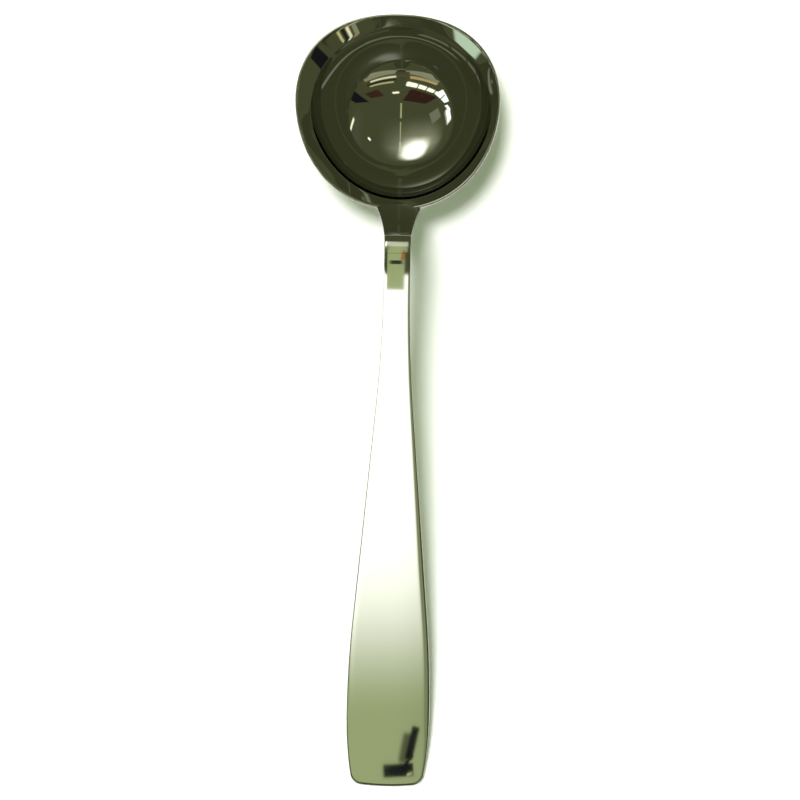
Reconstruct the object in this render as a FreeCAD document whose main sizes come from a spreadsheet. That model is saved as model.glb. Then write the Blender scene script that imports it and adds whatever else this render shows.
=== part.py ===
"""Ladle in polished stainless steel, one piece: a deep round bowl with a flared lip, a rising
neck and a long flat handle that widens towards its end.

Millimetres. +Z is up, +Y runs along the handle towards the bowl, X runs across it. The ladle
lies as it rests on a table: on the bottom of the bowl and on the underside of the handle's end.
The origin is on the table, under the middle of the ladle.
"""
import FreeCAD
import Part

import math
import os

import Sketcher
from FreeCAD import Vector

# Driving sizes: name, value, what it is
SIZES = [
    ("bowl_radius", 36.5, "inner radius of the bowl's ball-shaped wall"),
    ("bowl_wall", 1.2, "thickness of the bowl's wall and lip"),
    ("mouth_angle", 74.0, "angle from straight down to where the lip starts, seen from the ball's centre"),
    ("round_angle", 40.0, "the same angle to where the wall stops being exactly round"),
    ("egg_far", 0.4, "how far the mouth's far side lies outside the round bowl"),
    ("egg_shoulder", 0.8, "the same at the shoulders"),
    ("egg_side", 0.1, "the same at the sides"),
    ("egg_flank", -1.5, "the same at the flanks beside the neck"),
    ("egg_near", -0.8, "the same at the neck"),
    ("lip_height", 4.95, "height of the flared lip above the mouth"),
    ("lip_far", 3.8, "how far the lip flares out at the far side"),
    ("lip_shoulder", 6.3, "the same at the shoulders"),
    ("lip_side", 4.8, "the same at the sides"),
    ("lip_flank", 5.8, "the same at the flanks beside the neck"),
    ("lip_near", 5.5, "the same at the neck"),
    ("rim_shift", 1.2, "how far the rim sits to the left of the bowl's axis"),
    ("shoulder_angle", 50.0, "direction of the shoulders, from the far side round"),
    ("rim_round", 0.45, "rounding of the rim's two edges"),
    ("neck_start", 2.0, "height above the mouth at which the neck leaves the lip"),
    ("neck_angle", 54.0, "slope of the neck"),
    ("neck_run", 28.2, "length of the neck's straight part"),
    ("neck_sunk", 15.0, "length of the neck's root that runs down the bowl's wall"),
    ("neck_thickness", 3.0, "thickness of the neck"),
    ("bend_radius", 9.5, "radius of the bend over the neck, on top"),
    ("crest_slope", 6.0, "downward slope where the bend ends"),
    ("crest_radius", 35.0, "radius of the softer curve after the bend, on top"),
    ("arch_turn", 4.0, "how much the handle's long arch turns down on its way"),
    ("handle_reach", 259.9, "from the bowl's axis to the handle's end"),
    ("tip_thickness", 2.2, "thickness of the handle at its end"),
    ("root_width", 16.6, "width of the neck at the lip"),
    ("root_fillet", 2.0, "radius of the hollow corner between neck and lip"),
    ("root_gap", 1.0, "from the neck's start to the start of that corner"),
    ("root_tip", 4.0, "width of the root's lower end on the bowl's wall"),
    ("waist_gap", 23.8, "from the neck's start to the handle's narrow part"),
    ("waist_width", 10.0, "width of the handle behind the bend"),
    ("taper_width_near", 14.2, "width where the straight taper starts"),
    ("taper_near", 118.0, "from the bowl's axis to that place"),
    ("taper_width_far", 28.7, "width where the straight taper ends"),
    ("taper_far", 196.8, "from the bowl's axis to that place"),
    ("blade_width", 32.0, "greatest width of the handle"),
    ("blade_round", 136.0, "radius of the sides beyond the greatest width"),
    ("corner_radius", 4.6, "radius of the handle's two corners"),
    ("end_round", 95.0, "radius of the handle's end, seen from above"),
]

# Sizes that follow from them: name, formula, what it is
FOLLOWING = [
    ("ball_centre", "=bowl_radius + bowl_wall", "height of the ball's centre"),
    ("mouth_radius", "=bowl_radius * sin(mouth_angle * 1 deg)", "radius of the round bowl at its mouth"),
    ("mouth_height", "=ball_centre - bowl_radius * cos(mouth_angle * 1 deg)", "height of the mouth"),
    ("rim_height", "=mouth_height + lip_height", "height of the rim"),
    ("lip_length", "=sqrt(lip_height * lip_height + lip_side * lip_side)", "length of the lip's slope"),
    ("lip_in", "=bowl_wall * lip_height / lip_length", "how far the rim's inner edge lies inside the outer one"),
    ("lip_drop", "=bowl_wall * lip_side / lip_length", "how far the rim's outer edge lies below the inner one"),
    ("rim_far", "=mouth_radius + egg_far + lip_far", "from the bowl's axis to the rim's far side"),
    ("neck_out", "=mouth_radius + egg_near + (lip_near - lip_in) * neck_start / lip_height",
     "from the bowl's axis to where the neck leaves the lip"),
    ("root_line", "=neck_out + root_gap", "from the bowl's axis to the start of the hollow corner"),
    ("waist_start", "=neck_out + waist_gap", "from the bowl's axis to the narrow part's start"),
]

doc = FreeCAD.newDocument("Ladle")
sheet = doc.addObject("Spreadsheet::Sheet", "Sizes")
for row, (alias, value, note) in enumerate(SIZES + FOLLOWING, start=1):
    sheet.set("A%d" % row, note)
    sheet.set("B%d" % row, str(value))
    sheet.setAlias("B%d" % row, alias)
doc.recompute()


def size(alias):
    """Value of a named size in the sheet."""
    return float(sheet.get(alias))


def cosd(angle):
    return math.cos(math.radians(angle))


def sind(angle):
    return math.sin(math.radians(angle))


def outline_radius(turn, radii):
    """Radius of a bowl outline at an angle from the far side: a smooth curve through five radii."""
    flank_angle = 180.0 - size("shoulder_angle")
    places = [1.0, cosd(size("shoulder_angle")), 0.0, cosd(flank_angle), -1.0]
    here = math.cos(turn)
    total = 0.0
    for place, radius in zip(places, radii):
        term = radius
        for other in places:
            if other != place:
                term *= (here - other) / (place - other)
        total += term
    return total


def ring(radius_at, height, shift=0.0, spans=16):
    """Closed smooth curve round the bowl's axis at one height, moved to the left by a shift."""
    points = []
    for step in range(spans):
        turn = 2.0 * math.pi * step / spans
        radius = radius_at(turn)
        points.append(Vector(radius * math.sin(turn) - shift, radius * math.cos(turn), height))
    curve = Part.BSplineCurve()
    curve.interpolate(Points=points, PeriodicFlag=True)
    return Part.Wire([curve.toShape()])


# The bowl: a ball-shaped wall, egg-shaped towards its mouth, and a flared lip
PLACES = ("far", "shoulder", "side", "flank", "near")
MOUTH = [size("mouth_radius") + size("egg_" + place) for place in PLACES]
RIM = [mouth + size("lip_" + place) for mouth, place in zip(MOUTH, PLACES)]
ball_centre = size("ball_centre")
mouth_height = size("mouth_height")
rim_height = size("rim_height")
lip_slope = math.degrees(math.atan2(size("lip_height"), size("lip_side")))


def wall_ring(angle, offset):
    """Ring of the wall at an angle from straight down, on the inner face or offset outwards."""
    blend = max(0.0, angle - size("round_angle")) / (size("mouth_angle") - size("round_angle"))

    def radius_at(turn):
        pull = blend * blend * (outline_radius(turn, MOUTH) - size("mouth_radius"))
        return (size("bowl_radius") + offset) * sind(angle) + pull

    return ring(radius_at, ball_centre - (size("bowl_radius") + offset) * cosd(angle))


def bowl_solid(offset, mouth_ring):
    """Solid inside the wall's face at an offset, closed flat at its mouth."""
    lowest = Part.Vertex(0, 0, ball_centre - size("bowl_radius") - offset)
    steps = 8
    angles = [size("mouth_angle") * step / steps for step in range(1, steps)]
    rings = [wall_ring(4.0, offset)]
    rings += [wall_ring(angle, offset) for angle in angles]
    return Part.makeLoft([lowest] + rings + [mouth_ring], True, False)


wall = size("bowl_wall")
half_turn = (size("mouth_angle") + lip_slope) / 2.0
corner = wall / cosd((size("mouth_angle") - lip_slope) / 2.0)
mouth_in = wall_ring(size("mouth_angle"), 0.0)
mouth_out = ring(lambda turn: outline_radius(turn, MOUTH) + corner * sind(half_turn),
                 mouth_height - corner * cosd(half_turn))
shift = size("rim_shift")
edge = min(size("rim_round"), 0.45 * wall)
up_lip = (cosd(lip_slope), sind(lip_slope))
off_lip = (sind(lip_slope), -cosd(lip_slope))


def rim_ring(corner_out, corner_height, along, across):
    """Ring on the rim's rounded edge, from one of its corners along the lip and across it."""
    out = corner_out + along * up_lip[0] + across * off_lip[0]
    height = corner_height + along * up_lip[1] + across * off_lip[1]
    return ring(lambda turn: outline_radius(turn, RIM) + out, height, shift)


def inner_edge(angle):
    """Ring on the rim's inner edge, 0 at the lip's face and 90 at the rim's top."""
    return rim_ring(-size("lip_in"), rim_height, edge * (sind(angle) - 1.0), edge * (1.0 - cosd(angle)))


def outer_edge(angle):
    """Ring on the rim's outer edge, 0 at the rim's top and 90 at the lip's underside."""
    return rim_ring(0.0, rim_height - size("lip_drop"), edge * (cosd(angle) - 1.0),
                    edge * (sind(angle) - 1.0))


top = inner_edge(lip_slope)
inside = [mouth_in, inner_edge(0.0), inner_edge(lip_slope / 2.0), top]
outside = [mouth_out] + [outer_edge(angle) for angle in (90.0, 60.0, 30.0, 0.0)]
outside += [inner_edge(90.0), inner_edge((90.0 + lip_slope) / 2.0), top]
cavity_shape = bowl_solid(0.0, mouth_in)
lip_space = Part.makeLoft(inside, True, True)
bowl_body = bowl_solid(wall, mouth_out)
lip_body = Part.makeLoft(outside, True, True)
bowl_shape = bowl_body.fuse(lip_body).cut([cavity_shape, lip_space])
bowl_shape = Part.Solid(bowl_shape.Solids[0])

bowl = doc.addObject("Part::Feature", "Bowl")
bowl.Shape = bowl_shape
bowl.Label = "bowl_shell"
cavity = doc.addObject("Part::Feature", "Cavity")
cavity.Shape = cavity_shape
cavity.Label = "bowl_cavity"


def origin_plane(body, role):
    """Origin plane of a body, found by its role."""
    for feature in body.Origin.OriginFeatures:
        if feature.Role == role:
            return feature
    raise RuntimeError("no plane " + role)


def new_sketch(body, name, role):
    """Sketch of a body on one of its own origin planes."""
    sketch = body.newObject("Sketcher::SketchObject", name)
    sketch.AttachmentSupport = [(origin_plane(body, role), "")]
    sketch.MapMode = "FlatFace"
    return sketch


def point(x, y):
    return Vector(x, y, 0.0)


def arc(centre, radius, start, end):
    """Arc drawn anticlockwise between two angles in degrees."""
    circle = Part.Circle(centre, Vector(0, 0, 1), radius)
    return Part.ArcOfCircle(circle, math.radians(start), math.radians(end))


def drive(sketch, name, formula, *constraint):
    """Adds a named dimension and ties it to the sheet."""
    index = sketch.addConstraint(Sketcher.Constraint(*constraint))
    sketch.renameConstraint(index, name)
    sketch.setExpression("Constraints." + name, formula)


# Side view of the neck and handle, drawn on the middle plane: across is Y, up is Z
neck_angle = size("neck_angle")
crest = size("crest_slope")
thick = size("neck_thickness")
reach = size("handle_reach")
run_out = 4.0
uphill = point(-cosd(neck_angle), sind(neck_angle))
inward = point(-sind(neck_angle), -cosd(neck_angle))
crease = point(-size("neck_out"), mouth_height + size("neck_start"))
sunk_top = crease - uphill * size("neck_sunk")
bend_top = crease + uphill * size("neck_run")
bend_centre = bend_top + inward * size("bend_radius")
crest_in = point(sind(crest), -cosd(crest))
crest_top = bend_centre - crest_in * size("bend_radius")
crest_centre = crest_top + crest_in * size("crest_radius")
tip_top = point(-reach, size("tip_thickness"))
tip_under = point(-reach, 0.0)
end_line = -(reach + run_out)


def arch_from(fall, thickness, target):
    """Arc that starts along a downward slope and passes through target: start, centre, radius, end."""
    fall_in = point(sind(fall), -cosd(fall))
    start = crest_centre - fall_in * (size("crest_radius") - thickness)
    across = target - start
    radius = across.dot(across) / (2.0 * across.dot(fall_in))
    centre = start + fall_in * radius
    return start, centre, radius, math.degrees(math.acos((end_line - centre.x) / radius))


def arch_fall():
    """Slope at which the crest hands over to the arch, so that the arch turns by its own size."""
    low, high = 0.0, 40.0
    for _ in range(60):
        middle = (low + high) / 2.0
        flat_start = crest_centre + point(-sind(middle), cosd(middle)) * size("crest_radius")
        chord = math.degrees(math.atan2(flat_start.y - tip_top.y, flat_start.x - tip_top.x))
        if chord - middle > 0.1 and arch_from(middle, 0.0, tip_top)[3] - 90.0 - middle > size("arch_turn"):
            low = middle
        else:
            high = middle
    return low


fall = arch_fall()
fall_top, arch_centre, arch_radius, arch_stop = arch_from(fall, 0.0, tip_top)
fall_under, under_centre, under_radius, under_stop = arch_from(fall, thick, tip_under)

side_body = doc.addObject("PartDesign::Body", "SideView")
side_body.Label = "side_view"
side = new_sketch(side_body, "SideProfile", "YZ_Plane")
end_top = arch_centre + point(cosd(arch_stop), sind(arch_stop)) * arch_radius
end_under = under_centre + point(cosd(under_stop), sind(under_stop)) * under_radius
bend_under = bend_top + inward * thick
sunk_under = sunk_top + inward * thick
side.addGeometry([
    Part.LineSegment(sunk_top, bend_top),
    arc(bend_centre, size("bend_radius"), 90.0 - neck_angle, 90.0 + crest),
    arc(crest_centre, size("crest_radius"), 90.0 + crest, 90.0 + fall),
    arc(arch_centre, arch_radius, 90.0 + fall, arch_stop),
    Part.LineSegment(end_top, end_under),
    arc(under_centre, under_radius, 90.0 + fall, under_stop),
    arc(crest_centre, size("crest_radius") - thick, 90.0 + crest, 90.0 + fall),
    arc(bend_centre, size("bend_radius") - thick, 90.0 - neck_angle, 90.0 + crest),
    Part.LineSegment(bend_under, sunk_under),
    Part.LineSegment(sunk_under, sunk_top),
], False)
side.addGeometry([Part.Point(crease), Part.Point(tip_top), Part.Point(tip_under)], True)
for first, first_end, second, second_end in ((0, 2, 1, 1), (1, 2, 2, 1), (2, 2, 3, 1),
                                             (5, 1, 6, 2), (6, 1, 7, 2), (7, 1, 8, 1)):
    side.addConstraint(Sketcher.Constraint("Tangent", first, first_end, second, second_end))
for first, first_end, second, second_end in ((3, 2, 4, 1), (4, 2, 5, 2), (8, 2, 9, 1), (9, 2, 0, 1),
                                             (1, 3, 7, 3), (2, 3, 6, 3)):
    side.addConstraint(Sketcher.Constraint("Coincident", first, first_end, second, second_end))
side.addConstraint(Sketcher.Constraint("Vertical", 4))
side.addConstraint(Sketcher.Constraint("Perpendicular", 9, 8))
side.addConstraint(Sketcher.Constraint("PointOnObject", 10, 1, 0))
side.addConstraint(Sketcher.Constraint("PointOnObject", 11, 1, 3))
side.addConstraint(Sketcher.Constraint("PointOnObject", 12, 1, 5))
side.addConstraint(Sketcher.Constraint("PointOnObject", 12, 1, -1))
drive(side, "crease_out", "-Sizes.neck_out", "DistanceX", 10, 1, crease.x)
drive(side, "crease_height", "Sizes.mouth_height + Sizes.neck_start", "DistanceY", 10, 1, crease.y)
drive(side, "neck_slope", "(180 - Sizes.neck_angle) * 1 deg", "Angle", 0,
      math.radians(180.0 - neck_angle))
drive(side, "neck_sunk", "Sizes.neck_sunk", "Distance", 0, 1, 10, 1, size("neck_sunk"))
drive(side, "neck_run", "Sizes.neck_run", "Distance", 10, 1, 0, 2, size("neck_run"))
drive(side, "bend_radius", "Sizes.bend_radius", "Radius", 1, size("bend_radius"))
drive(side, "bend_turn", "(Sizes.neck_angle + Sizes.crest_slope) * 1 deg", "Angle", 1,
      math.radians(neck_angle + crest))
drive(side, "crest_radius", "Sizes.crest_radius", "Radius", 2, size("crest_radius"))
drive(side, "arch_turn", "Sizes.arch_turn * 1 deg", "Angle", 3, math.radians(arch_stop - 90.0 - fall))
drive(side, "bend_under", "Sizes.bend_radius - Sizes.neck_thickness", "Radius", 7,
      size("bend_radius") - thick)
drive(side, "tip_out", "-Sizes.handle_reach", "DistanceX", 11, 1, -reach)
drive(side, "tip_thickness", "Sizes.tip_thickness", "DistanceY", 11, 1, size("tip_thickness"))
drive(side, "under_out", "-Sizes.handle_reach", "DistanceX", 12, 1, -reach)
drive(side, "end_line", "-Sizes.handle_reach - %g" % run_out, "DistanceX", 4, 1, end_line)
doc.recompute()
side_pad = side_body.newObject("PartDesign::Pad", "SidePad")
side_pad.Profile = side
side_pad.Midplane = True
side_pad.Length = size("blade_width") + 12.0
side_pad.setExpression("Length", "(Sizes.blade_width + 12) * 1 mm")
doc.recompute()

# Outline of the neck and handle from above, one half: across is X, along is Y
root_half = size("root_width") / 2.0
root_fillet = size("root_fillet")
root_line = -size("root_line")
root_end = root_line - root_fillet
waist_half = size("waist_width") / 2.0
waist_start = -size("waist_start")
near_half = size("taper_width_near") / 2.0
far_half = size("taper_width_far") / 2.0
blade_half = size("blade_width") / 2.0
taper_near = point(near_half, -size("taper_near"))
taper_far = point(far_half, -size("taper_far"))
lean = math.degrees(math.atan2(far_half - near_half, size("taper_far") - size("taper_near")))
swell = (near_half - waist_half) / (1.0 - cosd(lean))
belly = (blade_half - far_half) / (1.0 - cosd(lean))
swell_centre = point(waist_half + swell, taper_near.y + swell * sind(lean))
belly_centre = point(blade_half - belly, taper_far.y - belly * sind(lean))
blade_round = size("blade_round")
blade_centre = point(blade_half - blade_round, belly_centre.y)
end_round = size("end_round")
end_centre = point(0.0, -reach + end_round)
corner_radius = size("corner_radius")
neck_in = root_half - waist_half
neck_drop = root_end - waist_start
neck_curve = (neck_in * neck_in + neck_drop * neck_drop) / (2.0 * neck_in)
neck_centre = point(waist_half + neck_curve, waist_start)
neck_stop = math.degrees(math.atan2(root_end - neck_centre.y, root_half - neck_centre.x))

# The corner's arc touches the side's arc and the end's arc from inside
gap = blade_centre - end_centre
reach_a = blade_round - corner_radius
reach_b = end_round - corner_radius
span = gap.Length
along = (reach_b * reach_b - reach_a * reach_a + span * span) / (2.0 * span)
offset = math.sqrt(reach_b * reach_b - along * along)
direction = gap * (1.0 / span)
sideways = point(-direction.y, direction.x)
options = [end_centre + direction * along + sideways * offset * sign for sign in (1.0, -1.0)]
corner_centre = max(options, key=lambda option: option.x)
corner_start = math.degrees(math.atan2(corner_centre.y - blade_centre.y, corner_centre.x - blade_centre.x))
corner_stop = math.degrees(math.atan2(corner_centre.y - end_centre.y, corner_centre.x - end_centre.x))
blank_top = -(size("neck_out") - size("neck_sunk") * cosd(neck_angle))

plan_body = doc.addObject("PartDesign::Body", "PlanView")
plan_body.Label = "plan_view"
plan = new_sketch(plan_body, "PlanOutline", "XY_Plane")
wide_half = root_half + root_fillet
swell_top = swell_centre.y
tip_half = size("root_tip") / 2.0
plan.addGeometry([
    Part.LineSegment(point(0, -reach), point(0, blank_top)),
    Part.LineSegment(point(0, blank_top), point(tip_half, blank_top)),
    Part.LineSegment(point(tip_half, blank_top), point(wide_half, root_line)),
    arc(point(wide_half, root_end), root_fillet, 90.0, 180.0),
    arc(neck_centre, neck_curve, neck_stop % 360.0, 180.0),
    Part.LineSegment(point(waist_half, waist_start), point(waist_half, swell_top)),
    arc(swell_centre, swell, 180.0, 180.0 + lean),
    Part.LineSegment(taper_near, taper_far),
    arc(belly_centre, belly, 0.0, lean),
    arc(blade_centre, blade_round, corner_start, 0.0),
    arc(corner_centre, corner_radius, corner_stop, corner_start),
    arc(end_centre, end_round, 270.0, corner_stop % 360.0),
], False)
for first, first_end, second, second_end in ((0, 2, 1, 1), (1, 2, 2, 1), (2, 2, 3, 1), (3, 2, 4, 1),
                                             (11, 1, 0, 1)):
    plan.addConstraint(Sketcher.Constraint("Coincident", first, first_end, second, second_end))
for first, first_end, second, second_end in ((4, 2, 5, 1), (5, 2, 6, 1), (6, 2, 7, 1), (7, 2, 8, 2),
                                             (8, 1, 9, 2), (9, 1, 10, 2), (10, 1, 11, 2)):
    plan.addConstraint(Sketcher.Constraint("Tangent", first, first_end, second, second_end))
plan.addConstraint(Sketcher.Constraint("PointOnObject", 0, 1, -2))
plan.addConstraint(Sketcher.Constraint("PointOnObject", 0, 2, -2))
plan.addConstraint(Sketcher.Constraint("PointOnObject", 11, 3, -2))
plan.addConstraint(Sketcher.Constraint("Horizontal", 1))
plan.addConstraint(Sketcher.Constraint("Vertical", 5))
drive(plan, "blank_top", "-(Sizes.neck_out - Sizes.neck_sunk * cos(Sizes.neck_angle * 1 deg))",
      "DistanceY", 0, 2, blank_top)
drive(plan, "tip_half", "Sizes.root_tip / 2", "DistanceX", 1, 2, tip_half)
drive(plan, "wide_half", "Sizes.root_width / 2 + Sizes.root_fillet", "DistanceX", 2, 2, wide_half)
drive(plan, "root_line", "-Sizes.root_line", "DistanceY", 2, 2, root_line)
drive(plan, "root_fillet", "Sizes.root_fillet", "Radius", 3, root_fillet)
drive(plan, "root_half", "Sizes.root_width / 2", "DistanceX", 3, 2, root_half)
drive(plan, "root_end", "-(Sizes.root_line + Sizes.root_fillet)", "DistanceY", 3, 2, root_end)
drive(plan, "waist_half", "Sizes.waist_width / 2", "DistanceX", 4, 2, waist_half)
drive(plan, "waist_start", "-Sizes.waist_start", "DistanceY", 4, 2, waist_start)
drive(plan, "near_half", "Sizes.taper_width_near / 2", "DistanceX", 6, 2, near_half)
drive(plan, "taper_near", "-Sizes.taper_near", "DistanceY", 6, 2, taper_near.y)
drive(plan, "far_half", "Sizes.taper_width_far / 2", "DistanceX", 7, 2, far_half)
drive(plan, "taper_far", "-Sizes.taper_far", "DistanceY", 7, 2, taper_far.y)
drive(plan, "blade_half", "Sizes.blade_width / 2", "DistanceX", 8, 1, blade_half)
drive(plan, "blade_round", "Sizes.blade_round", "Radius", 9, blade_round)
drive(plan, "corner_radius", "Sizes.corner_radius", "Radius", 10, corner_radius)
drive(plan, "end_round", "Sizes.end_round", "Radius", 11, end_round)
drive(plan, "handle_reach", "-Sizes.handle_reach", "DistanceY", 0, 1, -reach)
doc.recompute()
plan_pad = plan_body.newObject("PartDesign::Pad", "PlanPad")
plan_pad.Profile = plan
plan_pad.Midplane = True
plan_pad.Length = 4.0 * ball_centre + size("neck_run") * 2.0
plan_pad.setExpression("Length", "4 * (Sizes.bowl_radius + Sizes.bowl_wall) * 1 mm + 2 * Sizes.neck_run * 1 mm")
doc.recompute()
plan_mirror = plan_body.newObject("PartDesign::Mirrored", "PlanMirror")
plan_mirror.Originals = [plan_pad]
plan_mirror.MirrorPlane = (origin_plane(plan_body, "YZ_Plane"), [""])
plan_body.Tip = plan_mirror
doc.recompute()

# The handle's strip is what the two views have in common
strip = doc.addObject("Part::MultiCommon", "Strip")
strip.Shapes = [side_body, plan_body]
doc.recompute()

# The ladle: bowl and strip in one, with the inside of the bowl cleared
joined = doc.addObject("Part::MultiFuse", "BowlAndStrip")
joined.Shapes = [bowl, strip]
joined.Refine = False
ladle = doc.addObject("Part::Cut", "Ladle")
ladle.Base = joined
ladle.Tool = cavity
ladle.Refine = False
ladle.Label = "ladle"
ladle.setExpression("Placement.Base.x", "Sizes.rim_shift")
ladle.setExpression("Placement.Base.y", "(Sizes.handle_reach - Sizes.rim_far) / 2")
doc.recompute()

for item in doc.Objects:
    if "Invalid" in item.State or "Error" in item.State:
        raise RuntimeError("%s failed: %s" % (item.Name, item.State))

shape = ladle.Shape
if shape.isNull() or not shape.isValid() or len(shape.Solids) != 1:
    raise RuntimeError("the ladle is not one valid solid")

os.makedirs("parts", exist_ok=True)
shape.exportStep("parts/%s.step" % ladle.Label)
box = shape.BoundBox
print("ladle %.1f x %.1f x %.1f mm, %.0f mm3" % (box.XLength, box.YLength, box.ZLength, shape.Volume))
print("box from %.2f %.2f %.2f" % (box.XMin, box.YMin, box.ZMin))
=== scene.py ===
"""Ladle in polished stainless steel, dressed for its picture.

One piece of steel: a deep bowl with a flared lip, a rising neck and a long flat handle with
softly rolled edges. The meshes are worked out in millimetres from the bowl's own axis, then
moved into the frame, where +Y runs along the handle towards the bowl and +Z is up.
"""

import logging
import math
from dataclasses import dataclass, field
from enum import Enum

import bmesh
import bpy
from mathutils import Euler, Matrix, Vector


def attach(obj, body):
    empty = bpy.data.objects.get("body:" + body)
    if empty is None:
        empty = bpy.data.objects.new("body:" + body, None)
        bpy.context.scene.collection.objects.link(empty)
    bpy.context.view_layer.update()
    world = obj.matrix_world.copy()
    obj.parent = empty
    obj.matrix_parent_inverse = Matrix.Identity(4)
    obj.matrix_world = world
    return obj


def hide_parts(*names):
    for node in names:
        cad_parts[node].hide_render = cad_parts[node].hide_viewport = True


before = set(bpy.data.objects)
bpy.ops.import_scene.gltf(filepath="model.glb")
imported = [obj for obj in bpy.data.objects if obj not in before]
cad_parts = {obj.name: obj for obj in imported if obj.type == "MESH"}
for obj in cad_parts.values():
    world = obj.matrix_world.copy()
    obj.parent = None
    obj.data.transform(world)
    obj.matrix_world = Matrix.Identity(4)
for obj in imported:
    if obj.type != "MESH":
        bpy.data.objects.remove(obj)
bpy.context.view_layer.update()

LOG = logging.getLogger("ladle")
MM = 0.001
CLOSE = 1e-4  # points nearer than this are taken as one
HANDLE_REACH = 259.9
FAR_RIM = 39.286
AXIS = (1.2, (HANDLE_REACH - FAR_RIM) / 2.0)  # the bowl's axis in the frame, in millimetres

Colour = tuple[float, float, float]
OLIVE: Colour = (0.085, 0.095, 0.042)
DULL_SHARE = 0.88  # how far a second reflection turns to olive
CARD_DEPTH = 1.5  # ray depth past which a card is seen in a second reflection
ROOM_DEPTH = 2.5  # the same for the room, where the depth counts one more
LOWEST = 0.05  # least height of a direction, so that the plane overhead stays finite
MIX_SHARE, MIX_UNDER, MIX_OVER, MIX_RESULT = 0, 6, 7, 2  # sockets of a colour Mix node


class Hang(Enum):
    """Ways a card hangs over the ladle, with the axis that its second measure follows."""

    OVERHEAD = "Y"
    UPRIGHT = "Z"


class Axis(Enum):
    """Directions of the box that the handle is cut from."""

    ACROSS = 0
    ALONG = 1
    UPRIGHT = 2


def clamp(value: float) -> float:
    """Value held between 0 and 1."""
    return min(1.0, max(0.0, value))


def smooth(value: float) -> float:
    """Softened step from 0 to 1."""
    value = clamp(value)
    return value * value * (3.0 - 2.0 * value)


def bent(start: Vector, corner: Vector, stop: Vector, share: float) -> Vector:
    """Place along a soft bend from start to stop that a corner pulls towards itself."""
    return start.lerp(corner, share).lerp(corner.lerp(stop, share), share)


@dataclass(frozen=True)
class EggOutline:
    """Outline of the bowl at one height, through five radii from the far side to the neck."""

    far: float
    shoulder: float
    side: float
    flank: float
    near: float
    shoulder_angle: float = 50.0

    def radius(self, turn: float) -> float:
        """Radius at an angle from the far side.

        Args:
            turn: angle round the bowl's axis, in radians, 0 at the far side.

        Returns:
            The radius in millimetres.
        """
        slant = math.cos(math.radians(self.shoulder_angle))
        places = (1.0, slant, 0.0, -slant, -1.0)
        radii = (self.far, self.shoulder, self.side, self.flank, self.near)
        here = math.cos(turn)
        total = 0.0
        for place, radius in zip(places, radii):
            term = radius
            for other in places:
                if other != place:
                    term *= (here - other) / (place - other)
            total += term
        return total


@dataclass(frozen=True)
class PolishedSteel:
    """Finish of the whole ladle: bright steel with faint wiping marks and a little haze."""

    colour: Colour = (0.62, 0.62, 0.60)
    roughness: float = 0.03
    haze: float = 0.02
    cloud_scale: float = 38.0
    cloud_detail: float = 5.0
    cloud_range: tuple[float, float] = (0.35, 0.75)

    def material(self) -> bpy.types.Material:
        """Builds the steel.

        Returns:
            The material, with its patterns on Object coordinates.
        """
        steel = bpy.data.materials.new("polished steel")
        steel.use_nodes = True
        nodes, links = steel.node_tree.nodes, steel.node_tree.links
        shader = nodes["Principled BSDF"]
        shader.inputs["Base Color"].default_value = (*self.colour, 1.0)
        shader.inputs["Metallic"].default_value = 1.0
        place = nodes.new("ShaderNodeTexCoord")
        cloud = nodes.new("ShaderNodeTexNoise")
        cloud.inputs["Scale"].default_value = self.cloud_scale
        cloud.inputs["Detail"].default_value = self.cloud_detail
        spread = nodes.new("ShaderNodeMapRange")
        spread.inputs["From Min"].default_value = self.cloud_range[0]
        spread.inputs["From Max"].default_value = self.cloud_range[1]
        spread.inputs["To Min"].default_value = self.roughness
        spread.inputs["To Max"].default_value = self.roughness + self.haze
        links.new(place.outputs["Object"], cloud.inputs["Vector"])
        links.new(cloud.outputs["Fac"], spread.inputs["Value"])
        links.new(spread.outputs["Result"], shader.inputs["Roughness"])
        return steel


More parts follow.
